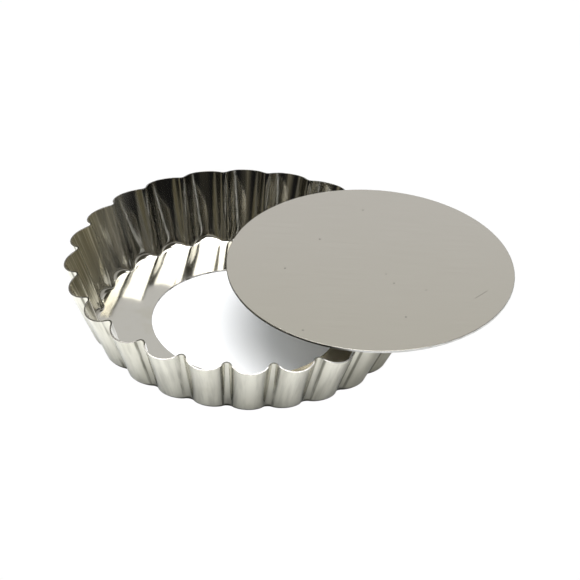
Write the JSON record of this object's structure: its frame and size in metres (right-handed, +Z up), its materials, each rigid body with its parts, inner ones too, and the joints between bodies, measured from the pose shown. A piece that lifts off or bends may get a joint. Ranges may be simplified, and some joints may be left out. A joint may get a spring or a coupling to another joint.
{
  "type": "tartlet tin",
  "caption": "Round tartlet tin in bright tinned sheet: a flared fluted ring with a ledge, and a flat loose base to push the tart out, laid across the rim.",
  "frame": {"origin": "on the table the tin stands on, under the middle of the box round the tin and its laid-out loose base; the ring's axis is 11.29 mm from it, towards -X", "axes": "+Z up along the ring's axis, +X from the ring's axis towards the laid-out loose base"},
  "size_m": [0.1224, 0.0998, 0.0202],
  "materials": {
    "bright_tinned_steel": "bright drawn tinplate with fine draw lines up the wall",
    "satin_tinned_steel": "satin rolled tinplate with a few specks and a short scratch"
  },
  "bodies": {
    "ring": {"fluted_ring": "bright_tinned_steel"},
    "base": {"loose_base": "satin_tinned_steel"}
  },
  "joints": [
    {"name": "loose_base_lift", "type": "slide", "parent": "ring", "child": "base", "axis": [0, 0, 1], "range_m": [0, 0.06]}
  ]
}
